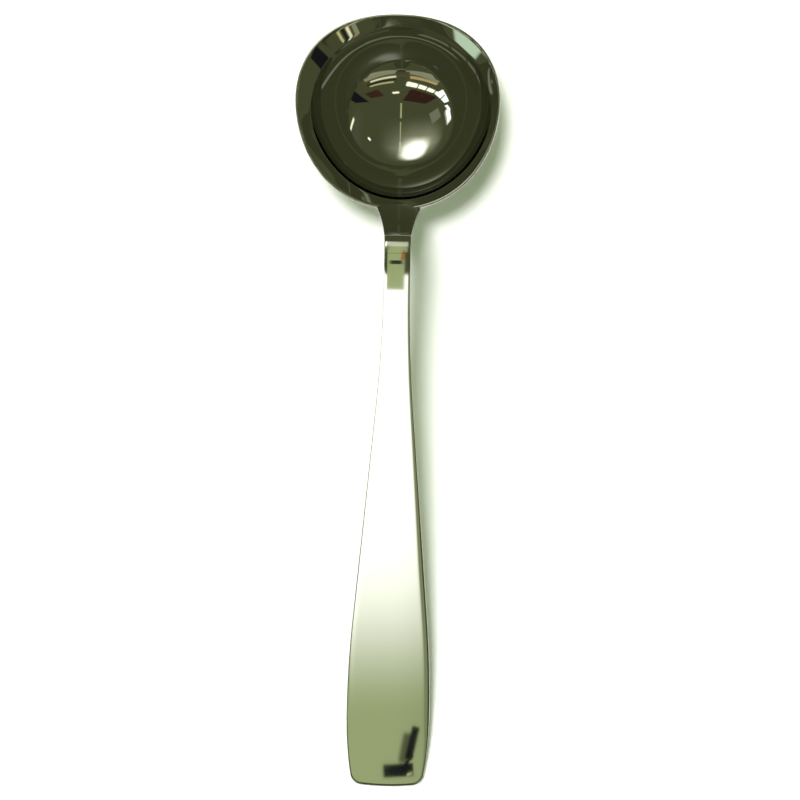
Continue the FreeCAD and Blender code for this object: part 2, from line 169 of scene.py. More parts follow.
@dataclass
class Bowl:
    """Ball-shaped bowl that turns egg-shaped towards its mouth, with a flared lip.

    Lengths are in millimetres and angles in degrees.
    """

    radius: float = 36.5
    wall: float = 1.2
    mouth_angle: float = 74.0
    round_angle: float = 40.0
    lip_height: float = 4.95
    rim_round: float = 0.55
    rim_shift: float = 1.24
    mouth_round: float = 1.2
    steps: int = 192
    ball_rows: int = 40
    bend_rows: int = 6
    lip_rows: int = 8
    rim_rows: int = 6
    mouth: EggOutline = field(
        default_factory=lambda: EggOutline(35.486, 35.886, 35.186, 33.586, 34.286))
    rim: EggOutline = field(
        default_factory=lambda: EggOutline(39.27, 42.17, 39.98, 39.37, 39.77))

    @property
    def centre(self) -> float:
        """Height of the ball's centre above the table."""
        return self.radius + self.wall

    @property
    def mouth_height(self) -> float:
        """Height at which the flared lip starts."""
        return self.centre - self.radius * math.cos(math.radians(self.mouth_angle))

    @property
    def round_mouth(self) -> float:
        """Radius of the ball at the height of the mouth."""
        return self.radius * math.sin(math.radians(self.mouth_angle))

    @property
    def lip_slope(self) -> float:
        """Slope of the lip at the sides, in radians."""
        return math.atan2(self.lip_height, self.rim.side - self.mouth.side)

    def ball(self, radius: float, angle: float) -> Vector:
        """Point of a ball round the bowl's centre, at an angle from the bottom."""
        return Vector((radius * math.sin(angle), 0.0, self.centre - radius * math.cos(angle)))

    def rim_quarter(self, centre: Vector, first: Vector, second: Vector) -> list[Vector]:
        """Quarter round of the rim's edge.

        Args:
            centre: centre of the round.
            first: direction from the centre in which it starts.
            second: direction from the centre in which it ends.

        Returns:
            The points of the round.
        """
        turns = [math.pi / 2.0 * row / self.rim_rows for row in range(self.rim_rows + 1)]
        return [centre + (first * math.cos(turn) + second * math.sin(turn)) * self.rim_round
                for turn in turns]

    def section(self) -> list[Vector]:
        """Closed section of the wall beside the bowl's axis, round before it is made egg-shaped.

        Returns:
            Points from the bottom of the inside, up over the rim and down the outside.
        """
        slope = self.lip_slope
        angle = math.radians(self.mouth_angle)
        lip = self.lip_height / math.sin(slope)
        corner = Vector((self.round_mouth, 0.0, self.mouth_height))
        up_lip = Vector((math.cos(slope), 0.0, math.sin(slope)))
        down_wall = Vector((-math.cos(angle), 0.0, -math.sin(angle)))
        out = Vector((math.sin(slope), 0.0, -math.cos(slope)))
        cut = self.mouth_round * math.tan((angle - slope) / 2.0)
        half = (angle + slope) / 2.0
        under = corner + Vector((math.sin(half), 0.0, -math.cos(half))) * (
            self.wall / math.cos((angle - slope) / 2.0))
        last = angle - cut / self.radius
        points = [self.ball(self.radius, last * row / self.ball_rows)
                  for row in range(self.ball_rows + 1)]
        start, stop = corner + down_wall * cut, corner + up_lip * cut
        points += [bent(start, corner, stop, row / self.bend_rows)
                   for row in range(1, self.bend_rows)]
        edge = corner + up_lip * (lip - self.rim_round)
        points += [stop.lerp(edge, row / self.lip_rows) for row in range(self.lip_rows)]
        top = edge + out * self.rim_round
        low = top + out * (self.wall - 2.0 * self.rim_round)
        points += self.rim_quarter(top, -out, up_lip) + self.rim_quarter(low, up_lip, out)
        edge = low + out * self.rim_round
        start, stop = under + up_lip * cut, under + down_wall * cut
        points += [edge.lerp(start, row / self.lip_rows) for row in range(1, self.lip_rows)]
        points += [bent(start, under, stop, row / self.bend_rows)
                   for row in range(self.bend_rows + 1)]
        outer = self.radius + self.wall
        first = angle - cut / outer
        points += [self.ball(outer, first * (1.0 - row / self.ball_rows))
                   for row in range(1, self.ball_rows + 1)]
        return points

    def pull(self, place: Vector) -> Vector:
        """Moves a point of the round bowl to where the egg-shaped one has it.

        Args:
            place: point of the round bowl.

        Returns:
            The point moved away from the axis, and aside where it is on the lip.
        """
        reach = math.hypot(place.x, place.y)
        if reach < CLOSE:
            return place
        turn = math.atan2(place.x, place.y)
        slope = self.lip_slope
        climb = ((reach - self.round_mouth) * math.cos(slope)
                 + (place.z - self.mouth_height) * math.sin(slope))
        share = clamp(climb * math.sin(slope) / self.lip_height)
        angle = math.degrees(math.atan2(reach, self.centre - place.z))
        blend = (angle - self.round_angle) / (self.mouth_angle - self.round_angle)
        blend = clamp(blend) ** 2
        to_mouth = self.mouth.radius(turn) - self.round_mouth
        outwards = self.rim.side - self.mouth.side + self.wall * math.sin(slope)
        to_rim = self.rim.radius(turn) - self.round_mouth - outwards
        shift = (1.0 - share) * blend * to_mouth + share * to_rim
        scale = (reach + shift) / reach
        return Vector((place.x * scale - share * self.rim_shift, place.y * scale, place.z))

    def middle_reach(self, turn: float, height: float) -> float:
        """Distance from the axis to the middle of the wall.

        Args:
            turn: angle round the axis, in radians, 0 at the far side.
            height: height above the table.

        Returns:
            The distance in millimetres.
        """
        ball = self.radius + self.wall / 2.0
        low = min(height, self.mouth_height)
        reach = math.sqrt(max(0.0, ball ** 2 - (self.centre - low) ** 2))
        place = self.pull(Vector((reach * math.sin(turn), reach * math.cos(turn), low)))
        above = max(0.0, height - self.mouth_height)
        return math.hypot(place.x, place.y) + above / math.tan(self.lip_slope)

    def build(self) -> bmesh.types.BMesh:
        """Spins the section round the axis and pulls it into shape.

        Returns:
            The bowl, in millimetres from its own axis.
        """
        bm = bmesh.new()
        line = [bm.verts.new(point) for point in self.section()]
        edges = [bm.edges.new(pair) for pair in zip(line, line[1:])]
        bmesh.ops.spin(bm, geom=line + edges, cent=(0, 0, 0), axis=(0, 0, 1),
                       angle=2.0 * math.pi, steps=self.steps, use_merge=True)
        bmesh.ops.remove_doubles(bm, verts=bm.verts, dist=CLOSE)
        for vert in bm.verts:
            vert.co = self.pull(vert.co)
        bmesh.ops.recalc_face_normals(bm, faces=bm.faces)
        return bm


@dataclass(frozen=True)
class Station:
    """Place on top of the strip in the side view (Y, Z), with the way into the metal there."""

    place: Vector
    inward: Vector
    thick: float


@dataclass
class Handle:
    """Neck and handle: one strip of steel, bent over the bowl's edge and arched to its end.

    Lengths are in millimetres and angles in degrees.
    """

    bowl: Bowl = field(default_factory=Bowl)
    neck_out: float = 36.16
    crease_height: float = 29.639
    neck_angle: float = 54.0
    neck_run: float = 28.2
    neck_sunk: float = 15.0
    thickness: float = 3.0
    tip_thickness: float = 2.2
    bend_radius: float = 9.5
    crest_slope: float = 6.0
    crest_radius: float = 35.0
    arch_turn: float = 4.0
    arch_past: float = 4.0
    arch_steepest: float = 40.0
    arch_ease: float = 1.6
    arch_tries: int = 50
    reach: float = HANDLE_REACH
    root_width: float = 16.6
    root_fillet: float = 2.0
    root_line: float = 37.16
    root_tip: float = 4.0
    waist_width: float = 10.0
    waist_start: float = 59.96
    near_width: float = 14.2
    near_at: float = 118.0
    far_width: float = 28.7
    far_at: float = 196.8
    blade_width: float = 32.0
    blade_round: float = 136.0
    corner_radius: float = 4.6
    end_round: float = 95.0
    roll_width: float = 2.4
    roll_share: float = 0.19
    roll_end: float = 0.36
    roll_fade: float = 26.0
    roll_drop: float = 0.95
    under_roll: float = 0.45
    crown: float = 0.12
    sunk_least: float = 0.05
    sunk_tries: int = 24
    root_rows: int = 14
    neck_rows: int = 14
    bend_rows: int = 16
    crest_rows: int = 5
    arch_rows: int = 64
    corner_rows: int = 7
    levels: int = 3
    columns: int = 31
    rolls: int = 7

    def __post_init__(self) -> None:
        """Works out the arcs that the side view and the outline are made of."""
        self.lay_side_view()
        self.lay_outline()
        self.fit_corner()

    def lay_side_view(self) -> None:
        """Lays the neck, the bend at its top, the crest and the arch that turns as it should."""
        up = math.radians(self.neck_angle)
        crest = math.radians(self.crest_slope)
        self.crease = Vector((-self.neck_out, self.crease_height))
        self.uphill = Vector((-math.cos(up), math.sin(up)))
        self.inward = Vector((-math.sin(up), -math.cos(up)))
        bend_top = self.crease + self.uphill * self.neck_run
        self.bend_centre = bend_top + self.inward * self.bend_radius
        crest_in = Vector((math.sin(crest), -math.cos(crest)))
        crest_top = self.bend_centre - crest_in * self.bend_radius
        self.crest_centre = crest_top + crest_in * self.crest_radius
        low, high = crest, math.radians(self.arch_steepest)
        for _ in range(self.arch_tries):
            self.fall = (low + high) / 2.0
            self.lay_arch()
            past = (-self.reach - self.arch_past - self.arch_centre.x) / self.arch_radius
            turned = math.acos(past) - math.pi / 2.0 - self.fall
            if self.arch_radius > 0.0 and turned > math.radians(self.arch_turn):
                low = self.fall
            else:
                high = self.fall

    def lay_arch(self) -> None:
        """Lays the handle's long arch from the crest to the end's upper edge."""
        self.fall_in = Vector((math.sin(self.fall), -math.cos(self.fall)))
        self.fall_top = self.crest_centre - self.fall_in * self.crest_radius
        across = Vector((-self.reach, self.tip_thickness)) - self.fall_top
        self.arch_radius = across.dot(across) / (2.0 * across.dot(self.fall_in))
        self.arch_centre = self.fall_top + self.fall_in * self.arch_radius

    def lay_outline(self) -> None:
        """Lays the arcs of the outline between the waist, the two slopes and the blade."""
        near, far, blade = self.near_width / 2, self.far_width / 2, self.blade_width / 2
        self.lean = math.atan2(far - near, self.far_at - self.near_at)
        self.swell = (near - self.waist_width / 2) / (1.0 - math.cos(self.lean))
        self.swell_y = -self.near_at + self.swell * math.sin(self.lean)
        self.belly = (blade - far) / (1.0 - math.cos(self.lean))
        self.belly_y = -self.far_at - self.belly * math.sin(self.lean)
        self.blade_centre = Vector((blade - self.blade_round, self.belly_y))
        self.end_centre = Vector((0.0, -self.reach + self.end_round))

    def fit_corner(self) -> None:
        """Fits the small corner between the blade's rounded side and its rounded end."""
        gap = self.blade_centre - self.end_centre
        one, two = self.blade_round - self.corner_radius, self.end_round - self.corner_radius
        along = (two * two - one * one + gap.length_squared) / (2.0 * gap.length)
        off = math.sqrt(two * two - along * along)
        unit = gap.normalized()
        side = Vector((-unit.y, unit.x))
        options = [self.end_centre + unit * along + side * off * sign for sign in (1.0, -1.0)]
        self.corner = max(options, key=lambda place: place.x)
        from_blade = self.corner - self.blade_centre
        from_end = self.corner - self.end_centre
        self.corner_start = math.atan2(from_blade.y, from_blade.x)
        self.corner_stop = math.atan2(from_end.y, from_end.x)
        self.corner_middle = (self.corner_start + self.corner_stop) / 2.0
        self.arch_stop = self.corner.y + self.corner_radius * math.sin(self.corner_start)

    def half_width(self, y: float) -> float:
        """Half of the strip's width, seen from above.

        Args:
            y: place along the ladle from the bowl's axis, negative towards the handle's end.

        Returns:
            The half width in millimetres.
        """
        waist, root = self.waist_width / 2, self.root_width / 2
        root_end = -self.root_line - self.root_fillet
        if y > -self.root_line:
            wide = root + self.root_fillet
            end = -self.neck_out + self.neck_sunk * math.cos(math.radians(self.neck_angle))
            share = min(1.0, (y + self.root_line) / (end + self.root_line))
            return wide + (self.root_tip / 2.0 - wide) * share
        if y > root_end:
            up = min(self.root_fillet, y - root_end)
            return root + self.root_fillet - math.sqrt(self.root_fillet ** 2 - up * up)
        if y > -self.waist_start:
            widen, drop = root - waist, root_end + self.waist_start
            curve = (widen * widen + drop * drop) / (2.0 * widen)
            return waist + curve - math.sqrt(curve * curve - (y + self.waist_start) ** 2)
        if y > self.swell_y:
            return waist
        if y > -self.near_at:
            return waist + self.swell - math.sqrt(self.swell ** 2 - (y - self.swell_y) ** 2)
        if y > -self.far_at:
            return self.near_width / 2 + (-self.near_at - y) * math.tan(self.lean)
        if y > self.belly_y:
            return self.blade_width / 2 - self.belly + math.sqrt(
                self.belly ** 2 - (y - self.belly_y) ** 2)
        return self.blade_centre.x + math.sqrt(self.blade_round ** 2 - (y - self.belly_y) ** 2)

    def arch_height(self, y: float) -> float:
        """Height of the handle's top where it is arched."""
        return self.arch_centre.y + math.sqrt(self.arch_radius ** 2 - (y - self.arch_centre.x) ** 2)

    def depth(self, y: float) -> float:
        """Thickness of the strip at a place along it."""
        share = clamp((self.fall_top.x - y) / (self.fall_top.x + self.reach))
        return self.thickness + (self.tip_thickness - self.thickness) * share

    def narrowing(self, y: float) -> float:
        """Share of its full width that the upper edge's roll has at a place along the strip.

        Args:
            y: place along the ladle from the bowl's axis.

        Returns:
            The share, smaller towards the neck and towards the handle's end.
        """
        fade = smooth((y - self.arch_stop) / self.roll_fade)
        on_neck = self.half_width(y) * self.roll_share / self.roll_width
        return min(self.roll_end + (1.0 - self.roll_end) * fade, on_neck)

    def stations(self) -> list[Station]:
        """Stations of the strip from the bowl's wall to where the end's corners start.

        Returns:
            The stations, the one deepest in the bowl's wall first.
        """
        found = []
        up = math.radians(self.neck_angle)
        crest = math.radians(self.crest_slope)
        for row in range(-self.root_rows, self.neck_rows):
            run = (self.neck_sunk * row / self.root_rows if row < 0
                   else self.neck_run * row / self.neck_rows)
            found.append(Station(self.crease + self.uphill * run, self.inward, self.thickness))
        for row in range(self.bend_rows):
            turn = up - (up + crest) * row / self.bend_rows
            inward = Vector((-math.sin(turn), -math.cos(turn)))
            place = self.bend_centre - inward * self.bend_radius
            found.append(Station(place, inward, self.thickness))
        for row in range(self.crest_rows):
            turn = crest + (self.fall - crest) * row / self.crest_rows
            inward = Vector((math.sin(turn), -math.cos(turn)))
            place = self.crest_centre - inward * self.crest_radius
            found.append(Station(place, inward, self.thickness))
        for row in range(self.arch_rows + 1):
            y = self.fall_top.x + (self.arch_stop - self.fall_top.x) * row / self.arch_rows
            ease = smooth(self.arch_ease * row / self.arch_rows)
            inward = self.fall_in.lerp(Vector((0.0, -1.0)), ease).normalized()
            found.append(Station(Vector((y, self.arch_height(y))), inward, self.depth(y)))
        return found

    def cut_box(self, cells: dict[Axis, int]) -> bmesh.types.BMesh:
        """Cuts a box into a grid.

        Args:
            cells: how many cells the box gets in each direction.

        Returns:
            The box, from -1 to 1 in each direction.
        """
        bm = bmesh.new()
        bmesh.ops.create_cube(bm, size=2.0)
        for axis, count in cells.items():
            edges = [edge for edge in bm.edges
                     if abs((edge.verts[0].co - edge.verts[1].co)[axis.value]) > CLOSE]
            bmesh.ops.subdivide_edges(bm, edges=edges, cuts=count - 1, use_grid_fill=True)
        return bm

    def build(self) -> bmesh.types.BMesh:
        """Cuts a box into a fine grid and shapes it into the strip.

        Returns:
            The neck and handle, in millimetres from the bowl's axis.
        """
        stations = self.stations()
        across = self.columns - 1 + 2 * self.rolls
        along = len(stations) - 1 + self.corner_rows + self.rolls
        bm = self.cut_box({Axis.ACROSS: across, Axis.ALONG: along, Axis.UPRIGHT: self.levels})
        for vert in bm.verts:
            column = round((vert.co.x + 1.0) / 2.0 * across)
            row = round((1.0 - vert.co.y) / 2.0 * along)
            level = round((1.0 - vert.co.z) / 2.0 * self.levels)
            vert.co = self.spot(min(column, across - column), row, level, stations)
            if column < across / 2:
                vert.co.x = -vert.co.x
        bmesh.ops.remove_doubles(bm, verts=bm.verts, dist=CLOSE)
        bmesh.ops.recalc_face_normals(bm, faces=bm.faces)
        return bm

    def spot(self, from_side: int, row: int, level: int, stations: list[Station]) -> Vector:
        """Place of one point of the grid, on the strip's right half.

        Args:
            from_side: columns from the nearer side.
            row: rows from the bowl's wall.
            level: levels from the top.
            stations: the stations of the strip.

        Returns:
            The place, in millimetres from the bowl's axis.
        """
        arch_end = len(stations) - 1
        from_end = arch_end + self.corner_rows + self.rolls - row
        turn = math.pi / 2.0 * min(from_side, from_end, self.rolls) / self.rolls
        wide = drop = self.under_roll
        if level <= self.levels / 2:
            narrow = self.narrowing(stations[min(row, arch_end)].place.x)
            wide, drop = self.roll_width * narrow, self.roll_drop * narrow
        inset = wide * (1.0 - math.cos(turn))
        fallen = drop * (1.0 - math.sin(turn))
        inner = 1.0 - 2.0 * max(0, from_side - self.rolls) / (self.columns - 1)
        if row < arch_end:
            station = stations[row]
            down = self.level_depth(level, station.thick, fallen)
            side_view = station.place + station.inward * down
            x = (self.half_width(side_view.x) - inset) * inner
            if row < self.root_rows:
                sunk = self.sunk_drop(x, station)
                down = sunk + down * (station.thick - sunk) / station.thick
                side_view = station.place + station.inward * down
            y, z = side_view
        else:
            x, y = self.end_spot(row - arch_end, from_side, from_end, inset, inner)
            z = self.arch_height(y) - self.level_depth(level, self.depth(y), fallen)
        if level == 0:
            z -= self.crown * (2.0 * x / self.blade_width) ** 2
        return Vector((x, y, z))

    def sunk_drop(self, x: float, station: Station) -> float:
        """How far the root's top lies below the neck's line, so that the bowl's wall hides it.

        Args:
            x: distance from the middle plane.
            station: the station on the root.

        Returns:
            The drop in millimetres, 0 where the neck's own top is already hidden.
        """
        base = station.place + station.inward * station.thick
        low, high = 0.0, station.thick
        for _ in range(self.sunk_tries):
            half = (low + high) / 2.0
            spot = base - station.inward * half
            if math.hypot(x, spot.x) > self.bowl.middle_reach(math.atan2(x, spot.x), spot.y):
                low = half
            else:
                high = half
        return station.thick - max(low, self.sunk_least)

    def level_depth(self, level: int, thick: float, fallen: float) -> float:
        """Depth of a point below the line of the top.

        Args:
            level: levels from the top.
            thick: thickness of the strip there.
            fallen: how far the rolled edge has fallen there.

        Returns:
            The depth in millimetres.
        """
        if level == 0:
            return fallen
        if level == self.levels:
            return thick - fallen
        lower = thick - self.under_roll
        return self.roll_drop + (lower - self.roll_drop) * level / self.levels

    def end_edge(self, x: float, inset: float) -> float:
        """Place along the ladle of the end's edge.

        Args:
            x: distance from the middle.
            inset: how far inside the outline the line runs.

        Returns:
            The place in millimetres from the bowl's axis.
        """
        radius = self.end_round - inset
        if abs(x) <= self.end_centre.x + radius * math.cos(self.corner_stop):
            return self.end_centre.y - math.sqrt(radius ** 2 - x * x)
        small = self.corner_radius - inset
        return self.corner.y - math.sqrt(max(0.0, small ** 2 - (abs(x) - self.corner.x) ** 2))

    def corner_spot(self, share: float, inset: float) -> tuple[float, float]:
        """Place on the first half of the end's small corner.

        Args:
            share: 0 where the corner starts, 1 at its middle.
            inset: how far inside the outline the place lies.

        Returns:
            The place across and along the ladle.
        """
        phi = self.corner_start + (self.corner_middle - self.corner_start) * share
        small = self.corner_radius - inset
        return self.corner.x + small * math.cos(phi), self.corner.y + small * math.sin(phi)

    def end_spot(self, step: int, from_side: int, from_end: int, inset: float,
                 inner: float) -> tuple[float, float]:
        """Place of a point beyond the last station.

        Args:
            step: rows from the last station.
            from_side: columns from the nearer side.
            from_end: rows from the end.
            inset: how far the rolled edge has moved inwards.
            inner: 1 at the flat's side, 0 in its middle.

        Returns:
            The place across and along the ladle.
        """
        share = min(1.0, step / self.corner_rows)
        edge_x, edge_y = self.corner_spot(share, inset)
        widest, corner_y = self.corner_spot(1.0, inset)
        if from_side > self.rolls and from_end >= self.rolls:
            end_y = self.end_edge(0.0, inset)
            mid_y = self.arch_stop + (end_y - self.arch_stop) * share
            bow = (self.end_edge(widest * inner, inset) - end_y) / (corner_y - end_y)
            return edge_x * inner, mid_y + (edge_y - mid_y) * bow
        if from_side <= from_end:
            return edge_x, edge_y
        if from_side < self.rolls:
            return widest, corner_y
        return widest * inner, self.end_edge(widest * inner, inset)


@dataclass
class Ladle:
    """The whole ladle: bowl and handle as one piece of steel."""

    bowl: Bowl = field(default_factory=Bowl)
    handle: Handle = field(default_factory=Handle)
    steel: PolishedSteel = field(default_factory=PolishedSteel)

    def build(self) -> bpy.types.Object:
        """Joins the bowl's and the handle's meshes in one object and dresses it.

        Returns:
            The ladle's object, in the frame.
        """
        whole = bmesh.new()
        for part in (self.bowl.build(), self.handle.build()):
            scratch = bpy.data.meshes.new("scratch")
            part.to_mesh(scratch)
            part.free()
            whole.from_mesh(scratch)
            bpy.data.meshes.remove(scratch)
        bmesh.ops.translate(whole, verts=whole.verts, vec=(*AXIS, 0.0))
        bmesh.ops.scale(whole, verts=whole.verts, vec=(MM, MM, MM))
        mesh = bpy.data.meshes.new("ladle_body")
        whole.to_mesh(mesh)
        whole.free()
        for polygon in mesh.polygons:
            polygon.use_smooth = True
        piece = bpy.data.objects.new("ladle_body", mesh)
        bpy.context.scene.collection.objects.link(piece)
        mesh.materials.append(self.steel.material())
        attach(piece, "root")
        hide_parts("ladle")
        return piece


@dataclass
class Floor:
    """Plain white table top that takes the ladle's shadow."""

    size: float = 6.0
    colour: Colour = (0.95, 0.95, 0.94)
    shade: Colour = (0.72, 1.0, 0.55)
    glow: float = 0.16
    roughness: float = 0.9

    def build(self) -> bpy.types.Object:
        """Lays the table top.

        Returns:
            The floor, a thing of the stage.
        """
        mesh = bpy.data.meshes.new("table_top")
        bm = bmesh.new()
        bmesh.ops.create_grid(bm, x_segments=1, y_segments=1, size=self.size / 2)
        bm.to_mesh(mesh)
        bm.free()
        floor = bpy.data.objects.new("table_top", mesh)
        bpy.context.scene.collection.objects.link(floor)
        paint = bpy.data.materials.new("white table")
        paint.use_nodes = True
        nodes, links = paint.node_tree.nodes, paint.node_tree.links
        shader = nodes["Principled BSDF"]
        shader.inputs["Base Color"].default_value = (*self.colour, 1.0)
        shader.inputs["Roughness"].default_value = self.roughness
        shader.inputs["Specular IOR Level"].default_value = 0.0
        shader.inputs["Emission Color"].default_value = (*self.shade, 1.0)
        ray = nodes.new("ShaderNodeLightPath")
        amount = nodes.new("ShaderNodeMath")
        amount.operation = "MULTIPLY"
        amount.inputs[1].default_value = self.glow
        links.new(ray.outputs["Is Camera Ray"], amount.inputs[0])
        links.new(amount.outputs[0], shader.inputs["Emission Strength"])
        mesh.materials.append(paint)
        return floor


@dataclass(frozen=True)
class Patch:
    """Soft-edged patch of light or dark.

    On a card its place and size are in metres. In the room they are in tangents of the angles
    from straight up, towards +X and +Y.
    """

    centre: tuple[float, float]
    half: tuple[float, float]
    colour: Colour
    soft: float = 0.06
    turned: float = 0.0


@dataclass
class PatchPainter:
    """Lays patches over a ground colour in a node tree."""

    tree: bpy.types.NodeTree
    across: bpy.types.NodeSocket
    along: bpy.types.NodeSocket

    def feed(self, place: bpy.types.NodeSocket,
             value: bpy.types.NodeSocket | Colour | float) -> None:
        """Links a socket to an input, or sets the input to a colour or number."""
        if isinstance(value, bpy.types.NodeSocket):
            self.tree.links.new(value, place)
        else:
            place.default_value = (*value, 1.0) if isinstance(value, tuple) else value

    def reckon(self, operation: str, first: bpy.types.NodeSocket | float,
               second: bpy.types.NodeSocket | float = 0.0,
               clamped: bool = False) -> bpy.types.NodeSocket:
        """Adds one step of arithmetic.

        Args:
            operation: name of the Math node's operation.
            first: socket or number for its first input.
            second: socket or number for its second input.
            clamped: whether the result is held between 0 and 1.

        Returns:
            The result's socket.
        """
        node = self.tree.nodes.new("ShaderNodeMath")
        node.operation = operation
        node.use_clamp = clamped
        self.feed(node.inputs[0], first)
        self.feed(node.inputs[1], second)
        return node.outputs[0]

    def mix(self, share: bpy.types.NodeSocket, under: bpy.types.NodeSocket | Colour,
            over: bpy.types.NodeSocket | Colour) -> bpy.types.NodeSocket:
        """Lays one colour over another.

        Args:
            share: how much of the upper colour is seen, from 0 to 1.
            under: the lower colour.
            over: the upper colour.

        Returns:
            The socket of the mixed colour.
        """
        node = self.tree.nodes.new("ShaderNodeMix")
        node.data_type = "RGBA"
        for place, value in ((MIX_SHARE, share), (MIX_UNDER, under), (MIX_OVER, over)):
            self.feed(node.inputs[place], value)
        return node.outputs[MIX_RESULT]

    def cover(self, patch: Patch) -> bpy.types.NodeSocket:
        """Works out how much of a patch lies at each place.

        Args:
            patch: the patch.

        Returns:
            The socket of its share, from 0 outside to 1 inside.
        """
        turn = math.radians(patch.turned)
        right = self.reckon("SUBTRACT", self.across, patch.centre[0])
        ahead = self.reckon("SUBTRACT", self.along, patch.centre[1])
        ways = ((math.cos(turn), math.sin(turn)), (-math.sin(turn), math.cos(turn)))
        sides = []
        for (one, two), half in zip(ways, patch.half):
            place = self.reckon("ADD", self.reckon("MULTIPLY", right, one),
                                self.reckon("MULTIPLY", ahead, two))
            inside = self.reckon("SUBTRACT", half + patch.soft / 2.0,
                                 self.reckon("ABSOLUTE", place))
            sides.append(self.reckon("DIVIDE", inside, patch.soft, clamped=True))
        both = self.reckon("MULTIPLY", sides[0], sides[1])
        return self.reckon("MULTIPLY", self.reckon("MULTIPLY", both, both),
                           self.reckon("SUBTRACT", 3.0, self.reckon("MULTIPLY", both, 2.0)))

    def lay(self, ground: Colour, patches: tuple[Patch, ...]) -> bpy.types.NodeSocket | Colour:
        """Lays the patches one over another.

        Args:
            ground: colour where there is no patch.
            patches: the patches, the lowest first.

        Returns:
            The socket of the finished colour, or the ground where there is no patch at all.
        """
        colour: bpy.types.NodeSocket | Colour = ground
        for patch in patches:
            colour = self.mix(self.cover(patch), colour, patch.colour)
        return colour

    def dulled(self, colour: bpy.types.NodeSocket | Colour, bounces: float,
               later: tuple[Patch, ...] = ()) -> bpy.types.NodeSocket:
        """Dulls a colour where it is seen by way of several reflections.

        Args:
            colour: the colour as a single reflection shows it.
            bounces: ray depth from which on the colour is dull.
            later: patches that only several reflections show.

        Returns:
            The socket of the colour that the steel sees.
        """
        ray = self.tree.nodes.new("ShaderNodeLightPath")
        again = self.reckon("GREATER_THAN", ray.outputs["Ray Depth"], bounces)
        share = self.reckon("MULTIPLY", again, DULL_SHARE)
        return self.mix(share, colour, self.lay(OLIVE, later))


@dataclass(frozen=True)
class Card:
    """Glowing card over the ladle that only its reflections show.

    Its corners are in metres in X and Y, with its height in Z. A card that stands upright has
    its corners in X and Z, and its height is then its place in Y.
    """

    name: str
    low: tuple[float, float]
    high: tuple[float, float]
    height: float
    ground: Colour
    patches: tuple[Patch, ...]
    hang: Hang = Hang.OVERHEAD
    later: tuple[Patch, ...] = ()

    def build(self) -> bpy.types.Object:
        """Hangs the card at its height, or stands it up across the ladle.

        Returns:
            The card, a thing of the stage.
        """
        mesh = bpy.data.meshes.new(self.name)
        bm = bmesh.new()
        bmesh.ops.create_grid(bm, x_segments=1, y_segments=1, size=0.5)
        low, high = Vector(self.low), Vector(self.high)
        bmesh.ops.scale(bm, verts=bm.verts, vec=(*(high - low), 1.0))
        bmesh.ops.translate(bm, verts=bm.verts, vec=(*((low + high) / 2.0), self.height))
        if self.hang is Hang.UPRIGHT:
            for vert in bm.verts:
                vert.co.yz = vert.co.zy
        bm.to_mesh(mesh)
        bm.free()
        card = bpy.data.objects.new(self.name, mesh)
        bpy.context.scene.collection.objects.link(card)
        glow = bpy.data.materials.new(self.name)
        glow.use_nodes = True
        tree = glow.node_tree
        tree.nodes.clear()
        place = tree.nodes.new("ShaderNodeTexCoord")
        split = tree.nodes.new("ShaderNodeSeparateXYZ")
        light = tree.nodes.new("ShaderNodeEmission")
        out = tree.nodes.new("ShaderNodeOutputMaterial")
        tree.links.new(place.outputs["Object"], split.inputs[0])
        painter = PatchPainter(tree, split.outputs["X"], split.outputs[self.hang.value])
        seen = painter.dulled(painter.lay(self.ground, self.patches), CARD_DEPTH, self.later)
        tree.links.new(seen, light.inputs["Color"])
        tree.links.new(light.outputs[0], out.inputs["Surface"])
        mesh.materials.append(glow)
        card.visible_camera = False
        card.visible_diffuse = False
        card.visible_shadow = False
        return card


ROOM = (
    # soft glow with its round highlight, low in the bowl
    Patch((-0.50, 0.78), (0.66, 0.46), (0.44, 0.46, 0.29), 0.9),
    Patch((-0.40, 0.95), (0.30, 0.36), (3.0, 3.05, 2.6), 0.40, -8.0),
    # dim wall and two small lights at the bowl's left
    Patch((1.65, 0.75), (0.30, 0.9), (0.10, 0.11, 0.06), 0.5, -20.0),
    Patch((0.86, 0.66), (0.05, 0.04), (2.2, 2.2, 2.2), 0.05, -40.0),
    Patch((1.95, 0.50), (0.06, 0.40), (1.8, 1.9, 1.3), 0.12, -38.0),
    # window with its bar at the bowl's right, a pale panel and a strip
    Patch((-1.85, 0.02), (0.26, 0.26), (1.9, 2.0, 1.7), 0.14, 18.0),
    Patch((-1.62, 0.02), (0.025, 0.30), (0.05, 0.05, 0.03), 0.03, 18.0),
    Patch((-0.98, -0.06), (0.22, 0.15), (0.24, 0.25, 0.16), 0.05, 22.0),
    Patch((-1.75, -0.38), (0.40, 0.08), (2.2, 2.4, 2.3), 0.10, -28.0),
    # pale block of light that the right flare reflects
    Patch((-6.3, -5.2), (4.6, 2.2), (0.72, 0.95, 0.68), 2.4, -50.0),
    # two dim panels beyond the handle's end
    Patch((0.95, -1.62), (0.75, 0.36), (0.36, 0.38, 0.25), 0.12, -8.0),
    Patch((-0.95, -1.62), (0.75, 0.36), (0.36, 0.38, 0.25), 0.12, 10.0),
    # line of light whose reflection gives the neck its grey-green, with a brighter end
    Patch((-0.0022, 0.50), (0.011, 0.45), (0.52, 0.60, 0.30), 0.004),
    Patch((-0.0022, 0.74), (0.011, 0.20), (1.0, 1.05, 0.75), 0.06),
)


